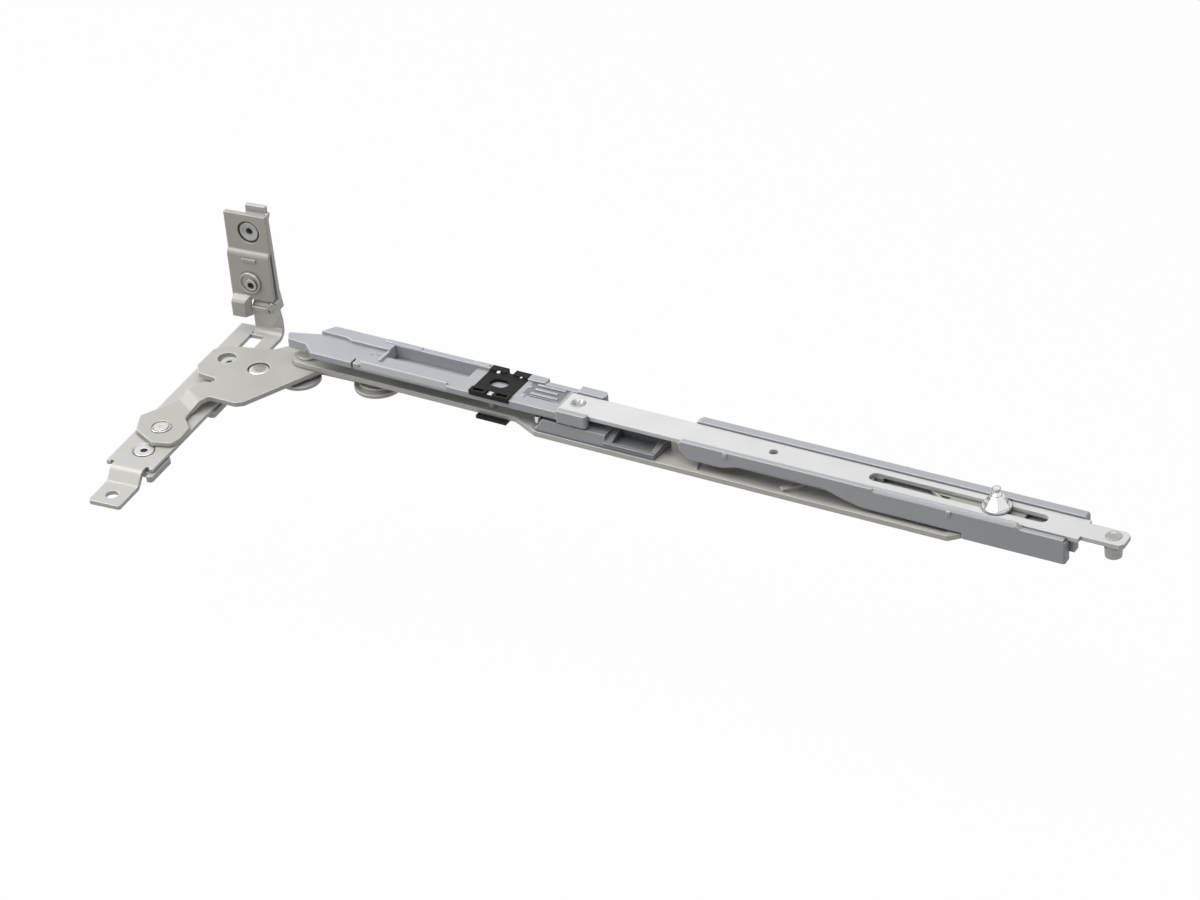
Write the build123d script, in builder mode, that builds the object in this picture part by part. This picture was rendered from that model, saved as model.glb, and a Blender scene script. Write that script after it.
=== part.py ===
from build123d import *
import os
from math import cos, radians, sin

os.makedirs("parts", exist_ok=True)

# Concealed window stay for the top of a tilt and turn sash, shown with the sash turned open.
# The frame strip lies along Y. The sash rail runs away from its corner, along the rail axis.
# Origin: centre of the fixing hole, on the top face of the strip's end tab, with +Z up. Millimetres.

# Sheet and casting thicknesses
strip_t = 1.8
front_plate_t = 2.0
turning_plate_t = 2.0
link_t = 1.5
arm_t = 2.3
faceplate_t = 1.8
rod_t = 1.8
carrier_t = 2.7

# Clearances
layer_gap = 0.1
pin_gap = 0.05
side_gap = 0.3
rim_gap = 0.15

# Frame strip
strip_width = 21.0
strip_rise = 4.7
tab_width = 14.0
tab_back = 6.3
tab_front = 7.7
tab_corner = 0.8
riser_run = 4.1
tab_hole_r = 2.6
corner_y = 121.5
notch_width = 1.7
notch_length = 3.6
shoulder_length = 2.6
screw_y = (25.4, 61.4, 93.0)
screw_head_r = 4.1
screw_shank_r = 2.0
countersink_r = 5.1
socket_r = 1.3
socket_depth = 1.0
window_length = 11.0
window_width = 6.6
window_centre = (0.6, 109.5)

# Leg folded up at the corner, with its neck set forward
leg_x = (-2.0, 10.6)
leg_wing = 3.2
leg_taper = (1.8, 2.6)
leg_taper_z = (10.8, 24.0)
neck_y = 118.5
neck_top = 16.8
neck_shoulder_x = 4.7
neck_bend_r = 2.6
leg_back = 3.0
leg_top = 61.5
leg_tip_back = 1.5
leg_tip_height = 3.0
leg_tip_right = 7.1
bend_r = 1.2
facet_start_x = 5.4
facet_top_z = 14.6
facet_depth = 0.9

# Front plate on the leg
plate_x = (-10.5, 8.4)
plate_top = 58.6
plate_step_z = 41.4
plate_bottom = 20.0
plate_proud = 1.5
hook_x = (-9.8, -3.8)
hook_flare = 1.9
hook_reach = 3.0
hook_low = 12.3
hook_top = 21.4
upper_at = (0.1, 50.7)
upper_head_r = 4.25
upper_head_t = 0.9
upper_recess_r = 5.0
upper_recess_depth = 1.2
eccentric_at = (-1.2, 27.7)
eccentric_r = 4.2
eccentric_proud = 1.2
eccentric_offset = (0.7, -0.9)
eccentric_socket_r = 1.5
raised_bar = (6.4, 1.4)
raised_bar_t = 0.5
raised_bar_above = 9.8

# Clamp blocks under the strip
clamp_t = 2.6
clamp_half = 6.0
clamp_lug_x = 11.2
clamp_long = 11.2
clamp_lug_past = 1.5
clamp_toe = 2.6
screw_past = 1.0

# Turning plate, in the position of the photographed opening
ear_pivot = (0.0, 39.0)
arm_pivot = (35.0, 97.55)
link_rivet_at = (18.4, 85.5)
ear_hole_r = 2.5
ear_corner_r = 2.2
ear_head_r = 4.15
ear_head_t = 1.0
lobe_r = 9.1
ramp_width = 10.7
ramp_start = (-3.6, 59.4)
ramp_angle = 56.0
ramp_run = 4.9
ramp_bend_r = 1.0
access_hole = (2.2, 88.5)
access_hole_r = 3.9
link_rivet_r = 4.4
link_rivet_sunk = 0.3
arm_rivet_r = 3.5
arm_rivet_head_r = 4.5
arm_rivet_head_t = 0.8
head_chamfer = 0.35

# Links under the turning plate
link_knee = (34.6, 93.5)
link_eye_r = 6.0
link_corner = 3.0
link_pin_r = 3.0
support_r = 10.0
knee_lobe_shift = (-0.2, -2.9)
knee_lobe_r = 8.4
support_pivot = (31.5, 2.0)
support_boss_r = 8.0
support_pin_r = 4.0

# Sash side: distances along and across the rail start at the arm pivot
open_angle = 85.4
arm_half = 6.3
arm_wide_start = 111.7
arm_crank_run = 11.7
arm_wide_front = 12.0
arm_end = 290.1
arm_tip_run = 4.3
arm_tip_front = 8.1
arm_floor_start = 182.0
arm_floor_skew = 5.5
arm_floor_depth = 0.8
arm_rim = 1.6
guide_rib_mid = (220.2, -6.6)
guide_rib = (9.0, 2.2)
guide_rib_angle = 47.0
guide_rib_above = 1.0

# Guide block on the wide part of the arm
guide_lead = 3.7
guide_length = 56.0
guide_front = -11.6
guide_back = 0.0
guide_wall = 1.6
guide_rib_at = 34.0
guide_rib_t = 3.0
guide_lip = 0.9
guide_rim = 2.4
guide_slope_run = 2.2
guide_pocket_floor = 0.8
roller_pin_r = 1.6
peg_r = 1.5
pad_length = 13.5
pad_v = (-8.2, 4.0)
pad_t = 1.4

# Slide block in the channel of the right carrier
slide_pin_u = 270.0
slide_pin_r = 3.0
slide_length = 16.0
slide_t = 3.6
channel_half = 5.3

# Levels, each built up from the one below
strip_top = strip_rise
strip_bottom = strip_top - strip_t
ear_low = strip_top + layer_gap
ear_high = ear_low + turning_plate_t
link_low = strip_top + layer_gap
link_high = link_low + link_t + layer_gap
plate_low = link_high + link_t + layer_gap
plate_high = plate_low + turning_plate_t
arm_low = plate_high + layer_gap
arm_top = arm_low + arm_t
slide_low = arm_top + layer_gap
slide_high = slide_low + slide_t
web_low = slide_high + side_gap

# Carriers
carrier_low = 18.3
carrier_top = carrier_low + carrier_t
seat_top = 21.7
lip_top = 22.6
front_v = -9.3
back_v = 9.4
face_top = seat_top
face_low = face_top - faceplate_t
rod_high = face_low - layer_gap
rod_low = rod_high - rod_t
left_end = 132.8
left_block = 12.0
seat_length = 13.0
lip_inner_v = 3.0
pocket_u = (38.0, 76.0)
pocket_v = (-0.2, 6.9)
pocket_low = 16.6
pocket_wall = 1.2
slit_u = (27.0, 28.0)
slit_depth = 3.5
rim_u = (31.0, 71.0)
rim_width = 1.8
rim_high = 0.9
first_lip = 7.7
clip_start = 81.8
clip_length = 17.7
clip_past = 0.4
clip_low = 20.3
clip_base_high = 21.8
clip_high = 22.5
clip_window = (8.0, 5.5)
clip_corner = (7.2, 3.2)
clip_peg_r = (1.2, 0.8)
groove_width = 1.0
groove_depth = 0.7
stud_r = 0.8
stud_high = 0.4

# Right carrier, faceplate and drive rod
right_lead = 9.5
end_margin = 12.4
wall_t = 4.0
end_block_t = 3.6
end_block_width = 4.1
end_block_back = 2.0
tab_rest_v = (-5.0, -1.6)
tab_rest_low = 14.0
end_wall_low = 16.8
wall_low_run = 40.0
wall_slope_run = 7.0
wall_rise_run = 9.0
wall_drop_back = 21.4
wall_drop_run = 2.2
bevel_lead = 5.2
first_boss_lead = 20.3
second_boss_back = 15.0
edge_bevel = 1.2
boss_width = 1.6
boss_proud = 0.4
face_side_gap = 0.15
face_hole_lead = 36.2
face_hole_r = 1.75
face_rivet_r = 3.0
face_rivet_proud = 0.4
face_rivet_lead = 5.5
face_end_lead = 2.1
tab_length = 16.3
tab_v = (-4.9, 3.9)
tab_cut = 1.6
end_pin_lead = 10.8
end_pin_r = 3.5
end_pin_length = 6.5
end_pin_neck_r = 3.0
end_pin_proud = 0.3
slot_width = 5.2
slot_reach = 51.0
web_opening_half = 2.3
rod_half = 4.2
rod_travel = 17.5
rod_back = 28.9
rod_front = 10.7
rod_slant = 12.1
cam_u = 300.3
cam_stem_r = 2.4
cam_base_r = 5.6
cam_base_t = 0.8
cam_cone_r = (5.3, 2.3)
cam_cone_high = 27.2
cam_neck_r = 1.15
cam_neck_high = 28.6
cam_flare_r = 1.65
cam_high = 30.0

rail_origin = Vector(arm_pivot[0], arm_pivot[1], 0)
rail_turn = open_angle - 90
along = Vector(cos(radians(rail_turn)), sin(radians(rail_turn)), 0)
across = Vector(-sin(radians(rail_turn)), cos(radians(rail_turn)), 0)
rail = Plane(origin=rail_origin, x_dir=along, z_dir=(0, 0, 1))


def rail_side(v):
    """Upright plane along the rail at the distance v across it, seen from the front."""
    return Plane(origin=rail_origin + across * v, x_dir=along, z_dir=across * -1)


def rail_section(u):
    """Upright plane across the rail at the distance u along it."""
    return Plane(origin=rail_origin + along * u, x_dir=across, z_dir=along)


def seen_from_front(y):
    """Upright plane across the frame at the depth y, with x to the right and z up."""
    return Plane.XZ.offset(-y)


def outline(*points, radius=0.6):
    """Face with a closed outline of rounded corners, on the XY plane."""
    with BuildSketch(Plane.XY, mode=Mode.PRIVATE) as shape:
        with BuildLine():
            FilletPolyline(*points, radius=radius, close=True)
        make_face()
    return shape.sketch_local


def polygon(*points):
    """Face with a closed outline of sharp corners, on the XY plane."""
    with BuildSketch(Plane.XY, mode=Mode.PRIVATE) as shape:
        with BuildLine():
            Polyline(*points, close=True)
        make_face()
    return shape.sketch_local


def folded(*points, radius, thickness, side):
    """Section of a folded sheet: the line of one of its faces, thickened to one side."""
    with BuildSketch(Plane.XY, mode=Mode.PRIVATE) as shape:
        with BuildLine():
            FilletPolyline(*points, radius=radius)
            offset(amount=thickness, side=side)
        make_face()
    return shape.sketch_local


def block(x_range, y_range, z_range, plane=Plane.XY):
    """Block between two limits along each axis of the given plane."""
    with BuildPart(mode=Mode.PRIVATE) as piece:
        with BuildSketch(plane.offset(z_range[0])):
            with Locations(((x_range[0] + x_range[1]) / 2, (y_range[0] + y_range[1]) / 2)):
                Rectangle(x_range[1] - x_range[0], y_range[1] - y_range[0])
        extrude(amount=z_range[1] - z_range[0])
    return piece.part


def disc(centre, radius, z_range, plane=Plane.XY):
    """Round disc, pin or bore between two levels above the given plane."""
    with BuildPart(mode=Mode.PRIVATE) as piece:
        with BuildSketch(plane.offset(z_range[0])):
            with Locations(centre):
                Circle(radius)
        extrude(amount=z_range[1] - z_range[0])
    return piece.part


def cone(centre, radii, z_range, plane=Plane.XY):
    """Cone frustum between two levels, for countersinks and countersunk heads."""
    height = z_range[1] - z_range[0]
    with BuildPart(plane.offset(z_range[0]), mode=Mode.PRIVATE) as piece:
        with Locations((centre[0], centre[1], 0)):
            Cone(radii[0], radii[1], height, align=(Align.CENTER, Align.CENTER, Align.MIN))
    return piece.part


def slab(shape, z_range, plane=Plane.XY):
    """Flat piece of the given outline between two levels above the given plane."""
    with BuildPart(mode=Mode.PRIVATE) as piece:
        with BuildSketch(plane.offset(z_range[0])):
            add(shape)
        extrude(amount=z_range[1] - z_range[0])
    return piece.part


def along_rail(section, u_range):
    """Piece of the given section across the rail, as points (v, z), between two places along it."""
    return slab(polygon(*section), (0, u_range[1] - u_range[0]), rail_section(u_range[0]))


# Frame strip: flat bar, stepped down to its end tab and folded up into the leg at the corner
leg_width = leg_x[1] - leg_x[0]
leg_front = neck_y + leg_back
half_strip = strip_width / 2
fold_start = neck_y - 3
tip_start = leg_top - leg_tip_height
notch_start = tab_front + riser_run
notch_y = (notch_start, notch_start + notch_length)
tab_y = (-tab_back - 1, notch_start + shoulder_length)
facet_low_z = strip_top + neck_bend_r + layer_gap
below = -strip_t - 1
above = strip_top + 1
with BuildPart() as neck_facet:
    facet_run = Vector(leg_x[1] - facet_start_x, 0, facet_top_z - facet_low_z)
    facet_line = facet_run.normalized()
    facet_out = Vector(facet_line.Z, 0, -facet_line.X)
    facet_plane = Plane(origin=(facet_start_x, neck_y, facet_low_z), x_dir=facet_out, z_dir=facet_line)
    facet_span = leg_x[1] - facet_start_x
    with BuildSketch(facet_plane):
        add(polygon((0, 0), (0, -1), (facet_span, -1), (facet_span, facet_depth)))
    extrude(amount=2 * facet_run.length, both=True)
    facet_x = (leg_x[0], leg_x[1] + 1)
    keep = block(facet_x, (neck_y - 1, neck_y + strip_t), (facet_low_z, neck_top))
    add(keep, mode=Mode.INTERSECT)
with BuildPart() as frame_strip:
    with BuildSketch(Plane.YZ):
        add(
            folded(
                (-tab_back, 0),
                (tab_front, 0),
                (notch_start, strip_top),
                (corner_y, strip_top),
                radius=[bend_r, bend_r + strip_t],
                thickness=strip_t,
                side=Side.RIGHT,
            )
        )
    extrude(amount=half_strip, both=True)
    fold_x = (leg_x[0] - 0.5, half_strip)
    add(block(fold_x, (fold_start, corner_y), (strip_bottom, strip_top)), mode=Mode.SUBTRACT)
    with BuildSketch(Plane.YZ.offset(leg_x[0])):
        add(
            folded(
                (fold_start - 2, strip_top),
                (neck_y, strip_top),
                (neck_y, neck_top),
                (leg_front, neck_top + leg_back),
                (leg_front, tip_start - 2),
                (leg_front + leg_tip_back, tip_start),
                (leg_front + leg_tip_back, leg_top),
                radius=[neck_bend_r, bend_r + strip_t, bend_r, bend_r + strip_t, 0.8],
                thickness=strip_t,
                side=Side.RIGHT,
            )
        )
    extrude(amount=leg_width)
    add(neck_facet.part, mode=Mode.SUBTRACT)
    leg_start = neck_top + leg_back
    wing_x = (leg_x[0] - leg_wing, leg_x[0])
    add(block(wing_x, (leg_front, leg_front + strip_t), (leg_start, tip_start - 2)))
    shoulder_rise = plate_bottom - side_gap - neck_top
    shoulder = polygon(
        (neck_shoulder_x, neck_top),
        (neck_shoulder_x + shoulder_rise, neck_top + shoulder_rise),
        (leg_x[1], neck_top + shoulder_rise),
        (leg_x[1], neck_top - 1),
        (neck_shoulder_x, neck_top - 1),
    )
    add(slab(shoulder, (-leg_back - strip_t, 0), seen_from_front(neck_y)))
    leg_side = polygon(
        (leg_x[1], leg_taper_z[0]),
        (leg_x[1] - leg_taper[0], leg_taper_z[1]),
        (leg_x[1] - leg_taper[1], leg_top + 1),
        (leg_x[1] + 1, leg_top + 1),
        (leg_x[1] + 1, leg_taper_z[0]),
    )
    leg_depth = (-leg_back - leg_tip_back - strip_t, 0)
    add(slab(leg_side, leg_depth, seen_from_front(neck_y)), mode=Mode.SUBTRACT)
    tip_cut = (leg_tip_right, leg_x[1])
    add(block(tip_cut, (leg_front, corner_y + 5), (tip_start, leg_top)), mode=Mode.SUBTRACT)
    for sign in (-1, 1):
        tab_edge = sorted((sign * tab_width / 2, sign * half_strip))
        notch_edge = sorted((sign * tab_width / 2, sign * (tab_width / 2 + notch_width)))
        add(block(tab_edge, tab_y, (below, above)), mode=Mode.SUBTRACT)
        add(block(notch_edge, notch_y, (below, above)), mode=Mode.SUBTRACT)
    chamfer(frame_strip.edges().filter_by(Axis.Z).group_by(Axis.Y)[0], tab_corner)
    add(disc((0, 0), tab_hole_r, (-strip_t, 0)), mode=Mode.SUBTRACT)
    with BuildSketch(Plane.XY.offset(strip_bottom)):
        with Locations(window_centre):
            Rectangle(window_width, window_length)
    extrude(amount=strip_t, mode=Mode.SUBTRACT)
    for y in screw_y:
        sink = cone((0, y), (screw_shank_r + pin_gap, countersink_r), (strip_bottom, strip_top))
        add(sink, mode=Mode.SUBTRACT)
    add(disc(ear_pivot, ear_hole_r, (strip_bottom, strip_top)), mode=Mode.SUBTRACT)
    leg_rear = seen_from_front(leg_front + strip_t)
    for at in (upper_at, eccentric_at):
        add(disc(at, screw_shank_r, (0, strip_t), leg_rear), mode=Mode.SUBTRACT)
frame_strip.part.label = "frame_strip"
export_step(frame_strip.part, "parts/frame_strip.step")

# Front plate: sheet with a joggle across its middle and a hook folded out of its lower edge
plate_back = leg_front
upper_front = plate_back - front_plate_t
lower_front = upper_front - plate_proud
hook_front = lower_front - hook_reach
hook_back = neck_y - side_gap
plate_depth = plate_back - lower_front
on_leg = seen_from_front(plate_back)
recess_depth = front_plate_t - upper_recess_depth
with BuildPart() as front_plate:
    with BuildSketch(Plane.YZ.offset(plate_x[0])):
        add(
            folded(
                (upper_front, plate_top),
                (upper_front, plate_step_z + plate_proud / 2),
                (lower_front, plate_step_z - plate_proud / 2),
                (lower_front, plate_bottom),
                radius=[0.8, 0.5 + front_plate_t],
                thickness=front_plate_t,
                side=Side.LEFT,
            )
        )
    extrude(amount=plate_x[1] - plate_x[0])
    hook_right = hook_x[1] + hook_flare
    hook_side = polygon(
        (hook_front, hook_low),
        (hook_back, hook_low),
        (hook_back, plate_bottom - 1),
        (lower_front + front_plate_t, plate_bottom - 1),
        (lower_front + front_plate_t, hook_top),
        (lower_front, hook_top),
        (hook_front + 0.8, hook_top - 1.5),
        (hook_front, hook_top - 2.5),
    )
    add(slab(hook_side, (0, hook_right - hook_x[0]), Plane.YZ.offset(hook_x[0])))
    hook_cut = polygon(
        (hook_x[1], hook_front),
        (hook_right, lower_front),
        (hook_right + 1, lower_front),
        (hook_right + 1, hook_front),
    )
    add(slab(hook_cut, (hook_low, hook_top)), mode=Mode.SUBTRACT)
    bar_x = (eccentric_at[0] + 0.6 - raised_bar[0] / 2, eccentric_at[0] + 0.6 + raised_bar[0] / 2)
    bar_z = (eccentric_at[1] + raised_bar_above, eccentric_at[1] + raised_bar_above + raised_bar[1])
    add(block(bar_x, (lower_front - raised_bar_t, lower_front), bar_z))
    add(disc(upper_at, upper_recess_r, (recess_depth, front_plate_t), on_leg), mode=Mode.SUBTRACT)
    add(disc(upper_at, screw_shank_r + pin_gap, (0, recess_depth), on_leg), mode=Mode.SUBTRACT)
    add(disc(eccentric_at, eccentric_r + pin_gap, (0, plate_depth), on_leg), mode=Mode.SUBTRACT)
front_plate.part.label = "front_plate"
export_step(front_plate.part, "parts/front_plate.step")

# Upper screw of the front plate: flat round head in its recess, with a socket
with BuildPart() as upper_screw:
    add(disc(upper_at, screw_shank_r, (-strip_t, recess_depth), on_leg))
    add(disc(upper_at, upper_head_r, (recess_depth, recess_depth + upper_head_t), on_leg))
    chamfer(upper_screw.edges().group_by(Axis.Y)[0], head_chamfer)
    with BuildSketch(on_leg.offset(recess_depth + upper_head_t)):
        with Locations(upper_at):
            RegularPolygon(socket_r, 6)
    extrude(amount=-socket_depth, mode=Mode.SUBTRACT)
upper_screw.part.label = "upper_screw"
export_step(upper_screw.part, "parts/upper_screw.step")

# Eccentric of the front plate: raised round boss, with its socket off the middle
eccentric_high = plate_depth + eccentric_proud
with BuildPart() as eccentric_screw:
    add(disc(eccentric_at, screw_shank_r, (-strip_t, 0), on_leg))
    add(disc(eccentric_at, eccentric_r, (0, eccentric_high), on_leg))
    chamfer(eccentric_screw.edges().group_by(Axis.Y)[0], 2 * head_chamfer)
    with BuildSketch(on_leg.offset(eccentric_high)):
        with Locations((eccentric_at[0] + eccentric_offset[0], eccentric_at[1] + eccentric_offset[1])):
            RegularPolygon(eccentric_socket_r, 6)
    extrude(amount=-socket_depth, mode=Mode.SUBTRACT)
eccentric_screw.part.label = "eccentric_screw"
export_step(eccentric_screw.part, "parts/eccentric_screw.step")

# Clamp blocks: small castings under the strip, each drawn up by the screw beside its lug
clamp_low = strip_bottom - clamp_t
with BuildPart() as clamp_blocks:
    for y, turn in ((screw_y[0], 1), (screw_y[1], -1)):
        body_y = sorted((y - turn * clamp_long, y + turn * clamp_half))
        lug_y = sorted((y - turn * clamp_long, y + turn * clamp_lug_past))
        add(block((-clamp_half, clamp_half), body_y, (clamp_low, strip_bottom)))
        add(block((0, clamp_lug_x), lug_y, (clamp_low, strip_bottom)))
        toe_x = (half_strip - notch_width, clamp_lug_x)
        toe_y = sorted((y - turn * clamp_long, y - turn * (clamp_long + clamp_toe)))
        add(block(toe_x, toe_y, (clamp_low, strip_bottom)))
        add(disc((0, y), screw_shank_r + pin_gap, (clamp_low, strip_bottom)), mode=Mode.SUBTRACT)
    chamfer(clamp_blocks.edges().filter_by(Axis.Z).group_by(Axis.X)[-1], tab_corner)
clamp_blocks.part.label = "clamp_blocks"
export_step(clamp_blocks.part, "parts/clamp_blocks.step")

# Strip screws: three countersunk screws, just below the face of the strip
screw_top = strip_top - layer_gap
screw_tip = clamp_low - screw_past
head_depth = screw_head_r - screw_shank_r
with BuildPart() as strip_screws:
    for y in screw_y:
        cone_low = screw_top - head_depth * strip_t / (countersink_r - screw_shank_r)
        add(disc((0, y), screw_shank_r, (screw_tip, cone_low)))
        add(cone((0, y), (screw_shank_r, screw_head_r), (cone_low, screw_top)))
        with BuildSketch(Plane.XY.offset(screw_top)):
            with Locations((0, y)):
                RegularPolygon(socket_r, 6)
        extrude(amount=-socket_depth, mode=Mode.SUBTRACT)
strip_screws.part.label = "strip_screws"
export_step(strip_screws.part, "parts/strip_screws.step")

# Ear rivet: the turning plate swings about it
with BuildPart() as ear_rivet:
    ear_head = (ear_high + layer_gap, ear_high + layer_gap + ear_head_t)
    add(disc(ear_pivot, ear_hole_r, (strip_bottom, ear_head[0])))
    add(disc(ear_pivot, ear_head_r, ear_head))
ear_rivet.part.label = "ear_rivet"
export_step(ear_rivet.part, "parts/ear_rivet.step")

# Turning plate: low ear on the strip, a ramp, and the raised plate that carries the arm
ramp_forward = Vector(cos(radians(ramp_angle)), sin(radians(ramp_angle)), 0)
ramp_side = Vector(sin(radians(ramp_angle)), -cos(radians(ramp_angle)), 0)
ramp_plane = Plane(origin=(*ramp_start, 0), x_dir=ramp_forward, z_dir=ramp_side)
ear_outline = (
    (-8.1, 50.4),
    (-12.5, 43.8),
    (-8.7, 34.5),
    (1.9, 28.6),
    (9.8, 30.3),
    (11.2, 34.6),
    (10.8, 42.4),
    (5.5, 48.3),
    (5.3, 53.4),
    (-3.6, 59.4),
)
raised_outline = (
    (-1.0, 63.4),
    (0.1, 66.4),
    (2.2, 69.6),
    (5.0, 70.2),
    (6.3, 72.6),
    (4.6, 73.6),
    (-3.2, 74.8),
    (-6.6, 79.5),
    (-6.4, 92.3),
    (-2.5, 96.5),
    (17.5, 100.2),
    (22.0, 104.8),
    (33.0, 106.2),
    (42.9, 93.0),
    (24.9, 61.6),
    (21.9, 59.9),
    (10.0, 60.7),
    (7.5, 58.0),
)
with BuildPart() as turning_plate:
    add(slab(outline(*ear_outline, radius=ear_corner_r), (ear_low, ear_high)))
    with BuildSketch(ramp_plane):
        add(
            folded(
                (-1.5, ear_low),
                (0.4, ear_low),
                (ramp_run, plate_low),
                (ramp_run + 1.8, plate_low),
                radius=[ramp_bend_r + turning_plate_t, ramp_bend_r],
                thickness=turning_plate_t,
                side=Side.LEFT,
            )
        )
    extrude(amount=ramp_width)
    add(slab(outline(*raised_outline, radius=0.8), (plate_low, plate_high)))
    add(disc(arm_pivot, lobe_r, (plate_low, plate_high)))
    add(disc(ear_pivot, ear_hole_r + pin_gap, (ear_low, ear_high)), mode=Mode.SUBTRACT)
    add(disc(access_hole, access_hole_r, (plate_low, plate_high)), mode=Mode.SUBTRACT)
    add(disc(arm_pivot, arm_rivet_r, (plate_low, plate_high)), mode=Mode.SUBTRACT)
    add(disc(link_rivet_at, link_rivet_r + rim_gap, (plate_low, plate_high)), mode=Mode.SUBTRACT)
turning_plate.part.label = "turning_plate"
export_step(turning_plate.part, "parts/turning_plate.step")

# Link rivet: just below the face of the turning plate, its shank is the inner link's pivot
with BuildPart() as link_rivet:
    add(disc(link_rivet_at, link_pin_r, (link_high, plate_low)))
    add(disc(link_rivet_at, link_rivet_r, (plate_low, plate_high - link_rivet_sunk)))
link_rivet.part.label = "link_rivet"
export_step(link_rivet.part, "parts/link_rivet.step")

# Arm rivet: fixed in the turning plate, with its head over the arm
with BuildPart() as arm_rivet:
    arm_head_low = arm_top + pin_gap
    add(disc(arm_pivot, arm_rivet_r, (plate_low, arm_head_low)))
    add(disc(arm_pivot, arm_rivet_head_r, (arm_head_low, arm_head_low + arm_rivet_head_t)))
arm_rivet.part.label = "arm_rivet"
export_step(arm_rivet.part, "parts/arm_rivet.step")

# Inner link: flat bar under the turning plate, from the link rivet to the knee
link_run = Vector(*link_knee) - Vector(*link_rivet_at)
link_plane = Plane(origin=(*link_rivet_at, link_high), x_dir=link_run.normalized(), z_dir=(0, 0, 1))
with BuildPart() as inner_link:
    with BuildSketch(link_plane) as link_shape:
        with Locations((link_run.length / 2, 0)):
            Rectangle(link_run.length + 2 * link_eye_r, 2 * link_eye_r)
        chamfer(link_shape.vertices(), link_corner)
        Circle(link_pin_r + pin_gap, mode=Mode.SUBTRACT)
        with Locations((link_run.length, 0)):
            Circle(link_pin_r, mode=Mode.SUBTRACT)
    extrude(amount=link_t)
inner_link.part.label = "inner_link"
export_step(inner_link.part, "parts/inner_link.step")

# Knee rivet: fixed in the inner link, flush with both links
with BuildPart() as knee_rivet:
    add(disc(link_knee, link_pin_r, (link_low, link_high + link_t)))
knee_rivet.part.label = "knee_rivet"
export_step(knee_rivet.part, "parts/knee_rivet.step")

# Support link: two wide round lobes, joined by a bar that keeps behind the arm's front edge
knee_offset = Vector(*link_knee) - Vector(*arm_pivot)
knee_uv = (knee_offset.dot(along), knee_offset.dot(across))
knee_lobe_at = (link_knee[0] + knee_lobe_shift[0], link_knee[1] + knee_lobe_shift[1])
bar_outline = ((2, -0.6), (24, 0.2), (31, 4), (31, 11), (24, 8.6), (2, 5.6), (-4, 0))
link_range = (link_low, link_low + link_t)
boss_range = (link_low + link_t, plate_low - layer_gap)
pin_range = (link_low, plate_low - layer_gap)
with BuildPart() as support_link:
    add(disc(knee_lobe_at, knee_lobe_r, link_range))
    add(disc(support_pivot, support_r, link_range, rail))
    add(slab(polygon(*bar_outline), link_range, rail))
    add(disc(support_pivot, support_boss_r, boss_range, rail))
    add(disc(knee_uv, link_pin_r + pin_gap, link_range, rail), mode=Mode.SUBTRACT)
    add(disc(support_pivot, support_pin_r, pin_range, rail), mode=Mode.SUBTRACT)
support_link.part.label = "support_link"
export_step(support_link.part, "parts/support_link.step")

# Support rivet: flush pivot of the support link, whose place under the arm stays open
with BuildPart() as support_rivet:
    add(disc(support_pivot, support_pin_r, pin_range, rail))
support_rivet.part.label = "support_rivet"
export_step(support_rivet.part, "parts/support_rivet.step")

# Stay arm: flat bar, narrow at the pivot, cranked forward to a wide part with a sunk floor
arm_neck_end = arm_wide_start - arm_crank_run
arm_tip_start = arm_end - arm_tip_run
arm_range = (arm_low, arm_top)
arm_outline = polygon(
    (0, -arm_half),
    (arm_neck_end, -arm_half),
    (arm_wide_start, -arm_wide_front),
    (arm_tip_start, -arm_wide_front),
    (arm_end, -arm_tip_front),
    (arm_end, arm_half),
    (0, arm_half),
)
floor_low = arm_top - arm_floor_depth
floor_outline = polygon(
    (arm_floor_start, -arm_wide_front + arm_rim),
    (arm_tip_start - arm_rim, -arm_wide_front + arm_rim),
    (arm_end - 2 * arm_rim, -arm_tip_front + arm_rim),
    (arm_end - 2 * arm_rim, arm_half - arm_rim),
    (arm_floor_start - arm_floor_skew, arm_half - arm_rim),
)
with BuildPart() as stay_arm:
    add(slab(arm_outline, arm_range, rail))
    add(disc((0, 0), arm_half, arm_range, rail))
    add(slab(floor_outline, (floor_low, arm_top), rail), mode=Mode.SUBTRACT)
    with BuildSketch(rail.offset(floor_low)):
        with Locations(Location((*guide_rib_mid, 0), (0, 0, guide_rib_angle))):
            Rectangle(*guide_rib)
    extrude(amount=arm_floor_depth + guide_rib_above)
    add(disc((0, 0), arm_rivet_r + pin_gap, arm_range, rail), mode=Mode.SUBTRACT)
    add(disc((slide_pin_u, 0), slide_pin_r, arm_range, rail), mode=Mode.SUBTRACT)
stay_arm.part.label = "stay_arm"
export_step(stay_arm.part, "parts/stay_arm.step")

# Guide block: casting on the wide part of the arm, with a sloping face, a rib and an open pocket
guide_start = arm_wide_start - guide_lead
guide_end = guide_start + guide_length
guide_top = carrier_low - 1.5
rib_u = (guide_start + guide_rib_at, guide_start + guide_rib_at + guide_rib_t)
roller_pin_at = (arm_wide_start - 0.4, -7.2)
guide_outline = polygon(
    (guide_start, -4.5),
    (guide_start + 1.6, guide_front + 2.4),
    (arm_wide_start + 0.8, guide_front),
    (guide_end, guide_front),
    (guide_end + 1.5, guide_back),
    (guide_start, guide_back),
)
closed_face = (
    (guide_front - 1, arm_top + guide_lip),
    (guide_front, arm_top + guide_lip),
    (guide_front + guide_slope_run, guide_top),
    (guide_front - 1, guide_top),
)
open_face = (
    (guide_front - 1, arm_top + guide_rim),
    (guide_front + guide_wall, arm_top + guide_rim),
    (guide_back - guide_wall, guide_top),
    (guide_front - 1, guide_top),
)
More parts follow.
